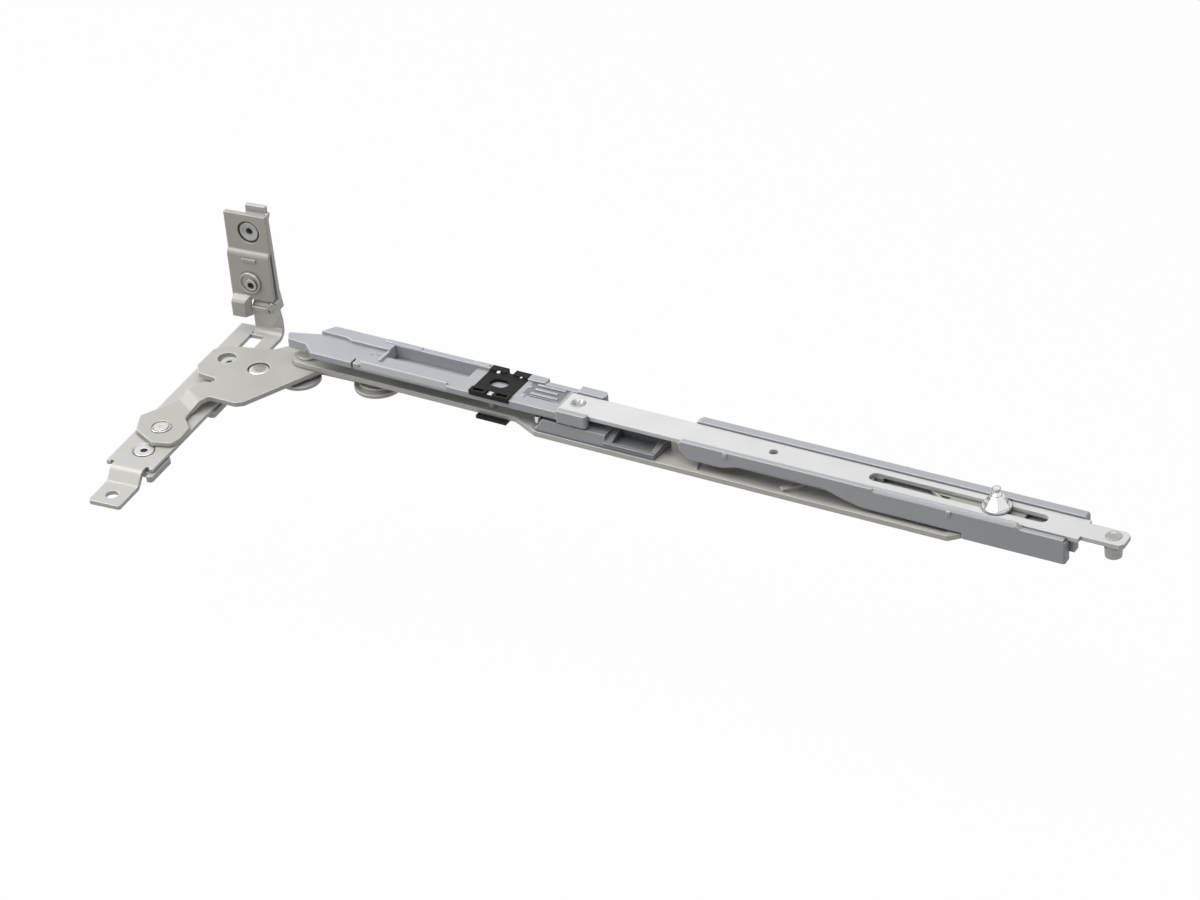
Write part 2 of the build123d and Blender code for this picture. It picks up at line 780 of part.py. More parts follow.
with BuildPart() as guide_block:
    add(slab(guide_outline, (arm_top, guide_top), rail))
    add(along_rail(closed_face, (guide_start - 1, rib_u[0])), mode=Mode.SUBTRACT)
    add(along_rail(open_face, (rib_u[0], guide_end + 2)), mode=Mode.SUBTRACT)
    hollow_u = (rib_u[1], guide_end - guide_wall)
    hollow_v = (guide_front + guide_wall, guide_back - guide_wall)
    hollow_z = (arm_top + guide_pocket_floor, guide_top)
    add(block(hollow_u, hollow_v, hollow_z, rail), mode=Mode.SUBTRACT)
    add(disc(roller_pin_at, roller_pin_r, (arm_top, guide_top), rail), mode=Mode.SUBTRACT)
guide_block.part.label = "guide_block"
export_step(guide_block.part, "parts/guide_block.step")

# Roller pin: short bright pin in the corner of the guide block
with BuildPart() as roller_pin:
    add(disc(roller_pin_at, roller_pin_r, (arm_top, guide_top), rail))
roller_pin.part.label = "roller_pin"
export_step(roller_pin.part, "parts/roller_pin.step")

# Peg: small pin on the arm, under the clip
peg_at = (clip_start + 6.2, -2.8)
with BuildPart() as peg:
    add(disc(peg_at, peg_r, (arm_top, carrier_low - 2 * side_gap), rail))
peg.part.label = "peg"
export_step(peg.part, "parts/peg.step")

# Arm pad: plastic rest under the arm, below the clip
pad_u = (clip_start + 1.2, clip_start + 1.2 + pad_length)
with BuildPart() as arm_pad:
    add(block(pad_u, pad_v, (arm_low - pad_t, arm_low), rail))
arm_pad.part.label = "arm_pad"
export_step(arm_pad.part, "parts/arm_pad.step")

# Slide block and its pin: they join the arm to the channel under the right carrier
with BuildPart() as slide_pin:
    add(disc((slide_pin_u, 0), slide_pin_r, (arm_low, slide_high - layer_gap), rail))
slide_pin.part.label = "slide_pin"
export_step(slide_pin.part, "parts/slide_pin.step")

slide_u = (slide_pin_u - slide_length / 2, slide_pin_u + slide_length / 2)
slide_half = channel_half - side_gap
slide_range = (slide_low, slide_high)
with BuildPart() as slide_block:
    add(block(slide_u, (-slide_half, slide_half), slide_range, rail))
    add(disc((slide_pin_u, 0), slide_pin_r + pin_gap, slide_range, rail), mode=Mode.SUBTRACT)
slide_block.part.label = "slide_block"
export_step(slide_block.part, "parts/slide_block.step")

# Left carrier: cast tray with a curved tip, a deep pocket, a seat for the clip and a raised lip
clip_end = clip_start + clip_length
seat_start = left_end - seat_length
block_start = left_end - left_block
seat_v = (-7.1, 5.8)
left_outline = outline(
    (-8.7, 0.2),
    (-6.3, -3.8),
    (2.5, -4.4),
    (6.6, -7.6),
    (8.0, front_v),
    (left_end, front_v),
    (left_end, back_v),
    (8.5, back_v),
    (4.9, 4.1),
    radius=0.9,
)
tip_outline = ((-8.7, 0.2), (-6.3, -3.8), (2.5, -4.4), (3.5, -2.4), (-5.4, -1.8), (-7.0, 0.6))
lip_outline = (
    (4.9, 4.2),
    (8.5, back_v),
    (clip_start, back_v),
    (clip_start, pocket_v[1]),
    (44.7, pocket_v[1]),
    (44.7, lip_inner_v),
    (20, lip_inner_v),
    (17, 4.2),
)
rim_slope = (
    (front_v - 1, carrier_top - 1.6),
    (front_v, carrier_top - 1.6),
    (front_v + 1.2, carrier_top + rim_high),
    (front_v - 1, carrier_top + rim_high),
)
front_block = (
    (block_start, front_v - side_gap),
    (left_end, front_v - side_gap),
    (left_end + 0.8, front_v + 0.5),
    (left_end + 0.8, seat_v[0]),
    (block_start, seat_v[0]),
)
back_block = (
    (block_start + 1.1, seat_v[1]),
    (left_end, seat_v[1]),
    (left_end + 0.8, seat_v[1] + 1),
    (left_end + 0.8, back_v - 0.6),
    (left_end - 0.4, back_v + 0.5),
    (block_start + 1.1, back_v + 0.5),
)
with BuildPart() as left_carrier:
    add(slab(left_outline, (carrier_low, carrier_top), rail))
    add(slab(outline(*tip_outline, radius=0.5), (carrier_low - 1.5, carrier_top - 1), rail))
    add(slab(polygon(*lip_outline), (carrier_top, lip_top), rail))
    tray_u = (pocket_u[0] - pocket_wall, pocket_u[1] + pocket_wall)
    tray_v = (pocket_v[0] - pocket_wall, pocket_v[1] + pocket_wall)
    add(block(tray_u, tray_v, (pocket_low - pocket_wall, carrier_low), rail))
    add(block(rim_u, (front_v, front_v + rim_width), (carrier_top, carrier_top + rim_high), rail))
    add(block((clip_end, left_end), (front_v, back_v - 1.4), (carrier_top, seat_top), rail))
    first_lip_u = (clip_end, clip_end + first_lip)
    add(block(first_lip_u, (seat_v[1], back_v + 0.2), (carrier_top, lip_top), rail))
    middle_lip = (clip_end + first_lip, block_start + 1.1)
    add(block(middle_lip, (seat_v[1], back_v - 1.4), (carrier_top, lip_top - 0.5), rail))
    add(slab(polygon(*back_block), (carrier_low, lip_top), rail))
    add(slab(polygon(*front_block), (carrier_low - 1.0, lip_top), rail))
    wall_at_pocket = (pocket_u[0] - pocket_wall, pocket_u[0])
    add(block(wall_at_pocket, (-4.2, pocket_v[1]), (carrier_top, carrier_top + rim_high), rail))
    add(along_rail(rim_slope, rim_u), mode=Mode.SUBTRACT)
    add(block(pocket_u, pocket_v, (pocket_low, lip_top), rail), mode=Mode.SUBTRACT)
    add(block(slit_u, (front_v, front_v + slit_depth), (carrier_low, lip_top), rail), mode=Mode.SUBTRACT)
    add(block((clip_start, clip_end), (front_v, back_v), (clip_low, lip_top), rail), mode=Mode.SUBTRACT)
    add(block((seat_start, left_end + 1), seat_v, (face_low, lip_top), rail), mode=Mode.SUBTRACT)
    groove_z = (seat_top - groove_depth, seat_top)
    for v, lead, length in ((3.3, 5.8, 11.7), (0.2, 7.0, 8.0), (-2.9, 6.3, 10.8)):
        groove_u = (clip_end + lead, clip_end + lead + length)
        groove_v = (v - groove_width / 2, v + groove_width / 2)
        add(block(groove_u, groove_v, groove_z, rail), mode=Mode.SUBTRACT)
    with BuildSketch(rail.offset(seat_top)):
        with Locations((clip_end + 3.3, 2.4), (clip_end + 3.6, -4.1)):
            RegularPolygon(stud_r, 8)
    extrude(amount=stud_high)
left_carrier.part.label = "left_carrier"
export_step(left_carrier.part, "parts/left_carrier.step")

# Clip: black plastic plate snapped over the left carrier, with raised corners round its openings
clip_mid = clip_start + clip_length / 2
clip_front = front_v - clip_past
clip_back = back_v + clip_past
with BuildPart() as plastic_clip:
    add(block((clip_start, clip_end), (clip_front, clip_back), (clip_low, clip_base_high), rail))
    left_corner = (clip_start, clip_start + clip_corner[0])
    right_corner = (clip_end - clip_corner[0], clip_end)
    for corner_u in (left_corner, right_corner):
        back_corner = (clip_back - clip_corner[1], clip_back)
        front_corner = (clip_front, clip_front + clip_corner[1])
        add(block(corner_u, back_corner, (clip_base_high, clip_high), rail))
        add(block(corner_u, front_corner, (clip_base_high, clip_high), rail))
        hollow = (corner_u[0] + 1.2, corner_u[1] - 1.2)
        hollow_v = (front_corner[0] + 0.7, front_corner[1] - 0.7)
        add(block(hollow, hollow_v, (clip_base_high - 0.6, clip_high), rail), mode=Mode.SUBTRACT)
    notch_u = (left_corner[1], right_corner[0])
    add(block(notch_u, (clip_back - 2, clip_back), (clip_low, clip_high), rail), mode=Mode.SUBTRACT)
    with BuildSketch(rail.offset(clip_low)):
        with Locations((clip_mid - 0.6, 0)):
            SlotOverall(*clip_window)
        with Locations((clip_mid - 0.2, clip_front + 2.1)):
            Rectangle(2.9, 2.9)
        with Locations((clip_start + 4.0, 6.7)):
            RegularPolygon(clip_peg_r[0], 8)
        with Locations((clip_end - 3.4, 6.6)):
            RegularPolygon(clip_peg_r[1], 8)
    extrude(amount=clip_high - clip_low, mode=Mode.SUBTRACT)
plastic_clip.part.label = "plastic_clip"
export_step(plastic_clip.part, "parts/plastic_clip.step")

# Right carrier: cast channel with stepped walls, a seat for the faceplate and a groove for the rod
right_start = guide_end + right_lead
slot_u = (cam_u - slot_reach, cam_u + rod_travel + cam_stem_r + side_gap)
right_end = slot_u[1] + end_margin
wall_end = right_end - end_block_t
arm_clear_u = arm_end + side_gap
wall_over_arm = arm_top + 0.8
wall_low = arm_low + 0.7
slope_u = arm_clear_u - wall_low_run - wall_slope_run
drop_u = right_end - wall_drop_back
wall_left = (
    (arm_clear_u, wall_over_arm),
    (arm_clear_u - wall_low_run, wall_over_arm),
    (slope_u, 14.8),
    (slope_u - wall_rise_run, 17.6),
    (right_start + 26.5, 17.6),
    (right_start + 18.5, 15.3),
    (right_start + 4.5, 15.3),
    (right_start + 1, 18.5),
    (right_start, lip_top - 1),
    (right_start + 1.5, lip_top),
)
front_wall = (
    *wall_left,
    (drop_u, lip_top),
    (drop_u + wall_drop_run, carrier_top),
    (wall_end, carrier_top),
    (wall_end, wall_low),
    (arm_clear_u + 0.4, wall_low),
)
back_wall = (
    *wall_left,
    (right_end - 0.7, lip_top),
    (right_end, lip_top - 0.7),
    (right_end, end_wall_low),
    (arm_clear_u + 0.4, end_wall_low),
)
block_end = right_end - end_block_back
end_block = (
    (wall_end - 1, front_v),
    (block_end - 0.7, front_v),
    (block_end, front_v + 0.7),
    (block_end, front_v + end_block_width),
    (wall_end - 1, front_v + end_block_width),
)
top_bevel = (
    (front_v - 1, lip_top - edge_bevel),
    (front_v, lip_top - edge_bevel),
    (front_v + edge_bevel, lip_top),
    (front_v - 1, lip_top),
)
rod_u = (cam_u - rod_back, cam_u + rod_front)
with BuildPart() as right_carrier:
    add(slab(polygon(*front_wall), (-wall_t, 0), rail_side(front_v)))
    add(slab(polygon(*back_wall), (0, wall_t), rail_side(back_v)))
    add(slab(polygon(*end_block), (wall_low, face_low), rail))
    end_lip = (front_v, seat_v[0])
    add(block((wall_end, block_end - 0.7), end_lip, (face_low, carrier_top), rail))
    add(block((wall_end, right_end), tab_rest_v, (tab_rest_low, face_low), rail))
    web_u = (right_start + 2, wall_end)
    add(block(web_u, (front_v + 1, back_v - 1), (web_low, face_low), rail))
    first_boss = (right_start + first_boss_lead, lip_top - boss_proud)
    second_boss = (cam_u - second_boss_back, lip_top - edge_bevel)
    for u, z in (first_boss, second_boss):
        boss_u = (u - boss_width / 2, u + boss_width / 2)
        add(block(boss_u, (front_v - boss_proud, front_v + boss_proud), (z - 2, z), rail))
    add(block((right_start, right_end + 1), seat_v, (face_low, lip_top), rail), mode=Mode.SUBTRACT)
    add(along_rail(top_bevel, (slot_u[0] + bevel_lead, drop_u)), mode=Mode.SUBTRACT)
    groove_u = (rod_u[0] - rod_travel - side_gap, rod_u[1] + rod_travel + side_gap)
    groove_v = (-rod_half - layer_gap, rod_half + layer_gap)
    add(block(groove_u, groove_v, (rod_low - layer_gap, face_low), rail), mode=Mode.SUBTRACT)
    opening_u = (slot_u[0] + 1, rod_u[0] + rod_slant)
    opening_v = (-web_opening_half, web_opening_half)
    add(block(opening_u, opening_v, (web_low, face_low), rail), mode=Mode.SUBTRACT)
right_carrier.part.label = "right_carrier"
export_step(right_carrier.part, "parts/right_carrier.step")

# Faceplate: flat bar with the cam slot, narrowed to a tab at its free end
faceplate_v = (seat_v[0] + face_side_gap, seat_v[1] - face_side_gap)
tab_start = right_end + face_end_lead
tab_end = tab_start + tab_length
face_hole = (right_start + face_hole_lead, -0.2)
face_rivet_at = (seat_start + face_rivet_lead, 0.0)
end_pin_at = (tab_start + end_pin_lead, 0.0)
face_range = (face_low, face_top)
tab_outline = (
    (tab_start - 1, tab_v[0]),
    (tab_end - tab_cut, tab_v[0]),
    (tab_end, tab_v[0] + tab_cut),
    (tab_end, tab_v[1] - tab_cut),
    (tab_end - tab_cut, tab_v[1]),
    (tab_start - 1, tab_v[1]),
)
with BuildPart() as faceplate:
    add(block((seat_start + layer_gap, tab_start), faceplate_v, face_range, rail))
    add(slab(polygon(*tab_outline), face_range, rail))
    with BuildSketch(rail.offset(face_low)):
        with Locations(((slot_u[0] + slot_u[1]) / 2, 0)):
            SlotOverall(slot_u[1] - slot_u[0], slot_width)
        with Locations(face_hole):
            Circle(face_hole_r)
        with Locations(face_rivet_at):
            Circle(face_rivet_r)
        with Locations(end_pin_at):
            Circle(end_pin_neck_r)
    extrude(amount=faceplate_t, mode=Mode.SUBTRACT)
faceplate.part.label = "faceplate"
export_step(faceplate.part, "parts/faceplate.step")

# Faceplate rivet: joins the left end of the faceplate to the carrier's seat
with BuildPart() as faceplate_rivet:
    add(disc(face_rivet_at, face_rivet_r, (face_low, face_top + face_rivet_proud), rail))
faceplate_rivet.part.label = "faceplate_rivet"
export_step(faceplate_rivet.part, "parts/faceplate_rivet.step")

# End pin: riveted in the tab, its lower end carries the next length of the gear
with BuildPart() as end_pin:
    add(disc(end_pin_at, end_pin_r, (face_low - end_pin_length, face_low), rail))
    add(disc(end_pin_at, end_pin_neck_r, (face_low, face_top + end_pin_proud), rail))
end_pin.part.label = "end_pin"
export_step(end_pin.part, "parts/end_pin.step")

# Drive rod: slides under the faceplate and carries the cam
rod_range = (rod_low, rod_high)
rod_outline = (
    (rod_u[0], rod_half),
    (rod_u[0] + rod_slant, -rod_half),
    (rod_u[1], -rod_half),
    (rod_u[1], rod_half),
)
rod_notch = (
    (rod_u[0] + 5.3, 1.5),
    (rod_u[0] + 10.3, 1.6),
    (rod_u[0] + 9.4, -1.3),
)
with BuildPart() as drive_rod:
    add(slab(polygon(*rod_outline), rod_range, rail))
    add(slab(polygon(*rod_notch), rod_range, rail), mode=Mode.SUBTRACT)
    add(disc((cam_u, 0), cam_stem_r, rod_range, rail), mode=Mode.SUBTRACT)
drive_rod.part.label = "drive_rod"
export_step(drive_rod.part, "parts/drive_rod.step")

# Cam: stem through the slot, round base on the faceplate, six-sided cone, neck and flared top
cam_at = (cam_u, 0)
base_low = face_top + layer_gap
base_high = base_low + cam_base_t
with BuildPart() as cam:
    add(disc(cam_at, cam_stem_r, (rod_low, base_low), rail))
    add(disc(cam_at, cam_base_r, (base_low, base_high), rail))
    for radius, z in zip(cam_cone_r, (base_high, cam_cone_high)):
        with BuildSketch(rail.offset(z)):
            with Locations(cam_at):
                RegularPolygon(radius, 6)
    loft()
    add(cone(cam_at, (cam_cone_r[1] - 0.4, cam_neck_r), (cam_cone_high, cam_neck_high), rail))
    add(cone(cam_at, (cam_neck_r, cam_flare_r), (cam_neck_high, cam_high), rail))
cam.part.label = "cam"
export_step(cam.part, "parts/cam.step")
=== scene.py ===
import math

import bpy
from mathutils import Matrix, Vector


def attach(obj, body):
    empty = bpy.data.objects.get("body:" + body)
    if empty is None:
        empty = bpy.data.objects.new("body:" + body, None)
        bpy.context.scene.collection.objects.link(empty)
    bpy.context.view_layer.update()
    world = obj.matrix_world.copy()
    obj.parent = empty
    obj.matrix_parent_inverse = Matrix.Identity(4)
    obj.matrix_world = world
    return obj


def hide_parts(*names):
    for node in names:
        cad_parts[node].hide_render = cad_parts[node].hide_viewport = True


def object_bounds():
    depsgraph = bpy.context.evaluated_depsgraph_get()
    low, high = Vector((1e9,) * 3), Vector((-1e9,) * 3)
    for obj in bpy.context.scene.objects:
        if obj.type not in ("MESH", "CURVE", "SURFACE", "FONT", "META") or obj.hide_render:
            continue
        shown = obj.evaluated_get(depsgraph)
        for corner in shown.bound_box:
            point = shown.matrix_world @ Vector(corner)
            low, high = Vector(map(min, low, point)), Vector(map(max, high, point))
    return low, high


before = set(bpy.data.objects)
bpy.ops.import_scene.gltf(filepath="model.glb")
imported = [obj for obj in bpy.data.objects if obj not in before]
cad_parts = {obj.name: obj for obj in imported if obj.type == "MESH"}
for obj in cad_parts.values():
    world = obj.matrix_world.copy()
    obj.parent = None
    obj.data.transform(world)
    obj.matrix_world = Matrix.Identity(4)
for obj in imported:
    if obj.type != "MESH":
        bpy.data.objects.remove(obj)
cad_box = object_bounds()

# Sizes and places are in millimetres, and this turns them to metres
MM = 0.001

# Camera: the photograph's viewpoint, a long lens above the free end of the rail
CAMERA_PLACE = Vector((705.6, -950.8, 770.7)) * MM
VIEW_AZIMUTH = 117.39
VIEW_PITCH = -33.33
VIEW_ROLL = -4.68
LENS = 108.84
SENSOR = 36.0

# Stage, in metres: its floor looks nearly white, but lights the part as a mid grey one
FLOOR_MIDDLE = (0.2, 0)
FLOOR_DROP = 0.09
FLOOR_WIDTH = 6.0
FLOOR_COLOUR = "#949492"
FLOOR_WHITE = 0.95
FLOOR_GLOW = 1.03
BACKGROUND = "#FFFFFF"
ROOM_COLOUR = "#F2F4F7"
ROOM_LIGHT = 0.1

# The sash rail starts at the arm's pivot and runs away from the frame strip
RAIL_START = Vector((35.0, 97.55, 0))
RAIL_TURN = math.radians(85.4 - 90)
ALONG_RAIL = RAIL_TURN + math.pi / 2

# Sizes that several pieces share
ROUND_SIDES = 56
EDGE_ROUND = 0.12
LEG_FRONT = 121.5

# Patches of tone: their size, and the darkest and lightest as shares of the colour
PATCH_SIZE = 14
PATCH_DARK = 0.93
PATCH_LIGHT = 1.05

# An edge gets a painted highlight (a painted dark reflection on the chromium) where its rounded
# normal leaves the face's own: cosines at the start and in full
EDGE_HIGHLIGHT_START = 0.98
EDGE_HIGHLIGHT_FULL = 0.86

# Painted shade in corners: how far it reaches from a corner, how open the corner is at its fullest
# and at its end, and how much of the colour is left under it
CORNER_SHADE_REACH = 1.6
CORNER_SHADE_FULL = 0.35
CORNER_SHADE_END = 0.9
CORNER_SHADE_TONE = 0.12

# How much the grain changes the roughness, and how strongly it shows as relief
GLOSS_SPREAD = 0.05
GRAIN_STRENGTH = 0.25


def linear(hex_colour):
    """Linear RGBA of an sRGB hex colour."""
    channels = [int(hex_colour[i : i + 2], 16) / 255 for i in (1, 3, 5)]
    return [c / 12.92 if c <= 0.04045 else ((c + 0.055) / 1.055) ** 2.4 for c in channels] + [1.0]


def toned(rgba, share):
    """A linear colour, darker or lighter by a share."""
    return [channel * share for channel in rgba[:3]] + [1.0]


def add_node(tree, kind, settings=None, links=None):
    """Adds a node, sets its properties and inputs, and links inputs from other nodes' outputs."""
    node = tree.nodes.new(kind)
    for name, value in (settings or {}).items():
        if isinstance(name, str) and hasattr(node, name):
            setattr(node, name, value)
        else:
            node.inputs[name].default_value = value
    for name, output in (links or {}).items():
        tree.links.new(output, node.inputs[name])
    return node


def set_camera():
    """Places the camera as the photograph's own stands."""
    azimuth = math.radians(VIEW_AZIMUTH)
    pitch = math.radians(VIEW_PITCH)
    level = math.cos(pitch)
    look = Vector((math.cos(azimuth) * level, math.sin(azimuth) * level, math.sin(pitch)))
    turn = look.to_track_quat("-Z", "Y").to_matrix()
    turn = turn @ Matrix.Rotation(math.radians(VIEW_ROLL), 3, "Z")
    data = bpy.data.cameras.new("photo_camera")
    data.lens = LENS
    data.sensor_width = SENSOR
    data.clip_end = 20
    camera = bpy.data.objects.new("photo_camera", data)
    camera.matrix_world = Matrix.Translation(CAMERA_PLACE) @ turn.to_4x4()
    bpy.context.scene.collection.objects.link(camera)
    bpy.context.scene.camera = camera


def seen_directly(tree):
    """1 for rays from the camera, a mirror or glass, and 0 for the light that falls on the part."""
    path = add_node(tree, "ShaderNodeLightPath")
    either = add_node(
        tree,
        "ShaderNodeMath",
        {"operation": "MAXIMUM"},
        {0: path.outputs["Is Camera Ray"], 1: path.outputs["Is Glossy Ray"]},
    )
    return add_node(
        tree,
        "ShaderNodeMath",
        {"operation": "MAXIMUM"},
        {0: either.outputs[0], 1: path.outputs["Is Transmission Ray"]},
    ).outputs[0]


def make_floor():
    """Pale floor well below the part, which hangs by its mount."""
    material = bpy.data.materials.new("matt_pale_floor")
    material.use_nodes = True
    tree = material.node_tree
    tree.nodes.clear()
    matt = add_node(tree, "ShaderNodeBsdfDiffuse", {"Color": linear(FLOOR_COLOUR)})
    white = add_node(
        tree, "ShaderNodeEmission", {"Color": linear(BACKGROUND), "Strength": FLOOR_GLOW}
    )
    share = add_node(
        tree,
        "ShaderNodeMath",
        {"operation": "MULTIPLY", 1: FLOOR_WHITE},
        {0: seen_directly(tree)},
    )
    mixed = add_node(
        tree,
        "ShaderNodeMixShader",
        links={0: share.outputs[0], 1: matt.outputs[0], 2: white.outputs[0]},
    )
    add_node(tree, "ShaderNodeOutputMaterial", links={"Surface": mixed.outputs[0]})
    bpy.ops.object.select_all(action="DESELECT")
    bpy.ops.mesh.primitive_plane_add(
        size=FLOOR_WIDTH, location=(*FLOOR_MIDDLE, cad_box[0][2] - FLOOR_DROP)
    )
    floor = bpy.context.object
    floor.name = "floor"
    floor.data.materials.append(material)


def make_surround():
    """White surround that lights the part only faintly."""
    world = bpy.data.worlds.new("studio")
    world.use_nodes = True
    tree = world.node_tree
    tree.nodes.clear()
    soft = add_node(
        tree, "ShaderNodeBackground", {"Color": linear(ROOM_COLOUR), "Strength": ROOM_LIGHT}
    )
    white = add_node(
        tree, "ShaderNodeBackground", {"Color": linear(BACKGROUND), "Strength": 1.0}
    )
    mixed = add_node(
        tree,
        "ShaderNodeMixShader",
        links={0: seen_directly(tree), 1: soft.outputs[0], 2: white.outputs[0]},
    )
    add_node(tree, "ShaderNodeOutputWorld", links={"Surface": mixed.outputs[0]})
    bpy.context.scene.world = world


def add_lamp(name, place, aim, size, power):
    """Soft square lamp that faces a point, in metres and watts."""
    data = bpy.data.lights.new(name, "AREA")
    data.size = size
    data.energy = power
    lamp = bpy.data.objects.new(name, data)
    lamp.location = place
    lamp.rotation_euler = (Vector(aim) - Vector(place)).to_track_quat("-Z", "Y").to_euler()
    bpy.context.scene.collection.objects.link(lamp)


def satin(
    name, colour, edge, metallic, roughness, grain, turn=0.0, specular=0.25, edge_highlight_radius=0.5, corner_shade=0.75
):
    """Coated surface: fine grain along its length, patches of tone, edges with a painted highlight,
    and corners darkened as painted shade.

    grain is the width and the length of one mark and its depth, and turn is the direction of its
    length, from the Y axis. edge is the colour painted on edges as a painted highlight (a painted
    dark reflection on the chromium). edge_highlight_radius is the radius of the rounded edge and of
    its painted highlight, and corner_shade is how much of the colour the corners lose as painted
    shade. Both are wider than on the real part, so that they show in the render."""
    material = bpy.data.materials.new(name)
    material.use_nodes = True
    tree = material.node_tree
    tree.nodes.clear()
    width, length, depth = grain
    base = linear(colour)
    place = add_node(tree, "ShaderNodeTexCoord")

    # Grain and patches
    marks = add_node(
        tree,
        "ShaderNodeMapping",
        {
            "vector_type": "TEXTURE",
            "Rotation": (0, 0, turn),
            "Scale": (width * MM, length * MM, width * MM),
        },
        {"Vector": place.outputs["Object"]},
    )
    streaks = add_node(
        tree,
        "ShaderNodeTexNoise",
        {"Scale": 1.0, "Detail": 2.0},
        {"Vector": marks.outputs[0]},
    )
    patches = add_node(
        tree,
        "ShaderNodeTexNoise",
        {"Scale": 1 / (PATCH_SIZE * MM), "Detail": 3.0},
        {"Vector": place.outputs["Object"]},
    )
    tone = add_node(
        tree,
        "ShaderNodeMix",
        {"data_type": "RGBA", 6: toned(base, PATCH_DARK), 7: toned(base, PATCH_LIGHT)},
        {0: patches.outputs["Fac"]},
    )

    # Painted edge highlights: the colour goes to the edge colour where the rounded normal turns
    # from the face's own
    rounded = add_node(tree, "ShaderNodeBevel", {"samples": 10, "Radius": edge_highlight_radius * MM})
    shape = add_node(tree, "ShaderNodeNewGeometry")
    facing = add_node(
        tree,
        "ShaderNodeVectorMath",
        {"operation": "DOT_PRODUCT"},
        {0: rounded.outputs[0], 1: shape.outputs["True Normal"]},
    )
    edge_highlight_mask = add_node(
        tree,
        "ShaderNodeMapRange",
        {"From Min": EDGE_HIGHLIGHT_START, "From Max": EDGE_HIGHLIGHT_FULL, "To Min": 0.0, "To Max": 1.0},
        {"Value": facing.outputs["Value"]},
    )
    edge_highlight_colour = add_node(
        tree,
        "ShaderNodeMix",
        {"data_type": "RGBA", 7: linear(edge)},
        {0: edge_highlight_mask.outputs[0], 6: tone.outputs[2]},
    )

    # Painted shade in the corners: the colour darkens where ambient occlusion finds other surfaces
    # close by
    openness = add_node(
        tree, "ShaderNodeAmbientOcclusion", {"samples": 8, "Distance": CORNER_SHADE_REACH * MM}
    )
    corner_shade_mask = add_node(
        tree,
        "ShaderNodeMapRange",
        {"From Min": CORNER_SHADE_FULL, "From Max": CORNER_SHADE_END, "To Min": corner_shade, "To Max": 0.0},
        {"Value": openness.outputs["AO"]},
    )
    corner_shaded_colour = add_node(
        tree,
        "ShaderNodeMix",
        {"data_type": "RGBA", 7: toned(base, CORNER_SHADE_TONE)},
        {0: corner_shade_mask.outputs[0], 6: edge_highlight_colour.outputs[2]},
    )

    # Sheen and relief of the grain
    sheen = add_node(
        tree,
        "ShaderNodeMapRange",
        {"To Min": roughness - GLOSS_SPREAD, "To Max": roughness + GLOSS_SPREAD},
        {"Value": streaks.outputs["Fac"]},
    )
    relief = add_node(
        tree,
        "ShaderNodeBump",
        {"Strength": GRAIN_STRENGTH, "Distance": depth * MM},
        {"Height": streaks.outputs["Fac"], "Normal": rounded.outputs[0]},
    )
    surface = add_node(
        tree,
        "ShaderNodeBsdfPrincipled",
        {"Metallic": metallic, "Specular IOR Level": specular},
        {
            "Base Color": corner_shaded_colour.outputs[2],
            "Roughness": sheen.outputs[0],
            "Normal": relief.outputs[0],
        },
    )
    add_node(tree, "ShaderNodeOutputMaterial", links={"Surface": surface.outputs[0]})
    return material


def dress(material, *nodes):
    """Gives CAD nodes a finish."""
    for node in nodes:
        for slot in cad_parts[node].material_slots:
            slot.material = material


def on_frame(x, y, z):
    """Point, in metres, from its place on the frame side in millimetres."""
    return Vector((x, y, z)) * MM


def on_rail(u, v, z):
    """Point, in metres, at u along the sash rail, v across it and z up, in millimetres."""
    turn = Matrix.Rotation(RAIL_TURN, 3, "Z")
    return (RAIL_START + turn @ Vector((u, v, 0)) + Vector((0, 0, z))) * MM


def select_only(piece):
    """Makes a piece the active one, and the only one selected."""
    bpy.ops.object.select_all(action="DESELECT")
    bpy.context.view_layer.objects.active = piece
    piece.select_set(True)


def finish(piece, name, body, material, stands_for=None, crease=35):
    """Names the selected new piece, fixes its place in its mesh, gives it body, slot and finish.

    crease is the angle, in degrees, from which its edges stay sharp."""
    bpy.ops.object.transform_apply(location=True, rotation=True, scale=True)
    piece.name = name
    piece.data.materials.clear()
    piece.data.materials.append(material)
    bpy.ops.object.shade_smooth_by_angle(angle=math.radians(crease))
    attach(piece, body)
    if stands_for:
        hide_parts(stands_for)


def again(piece, name, shift, body):
    """Copies a finished piece, with its own mesh, to a place that lies a shift away."""
    twin = piece.copy()
    twin.data = piece.data.copy()
    twin.data.transform(Matrix.Translation(shift))
    twin.name = name
    bpy.context.scene.collection.objects.link(twin)
    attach(twin, body)


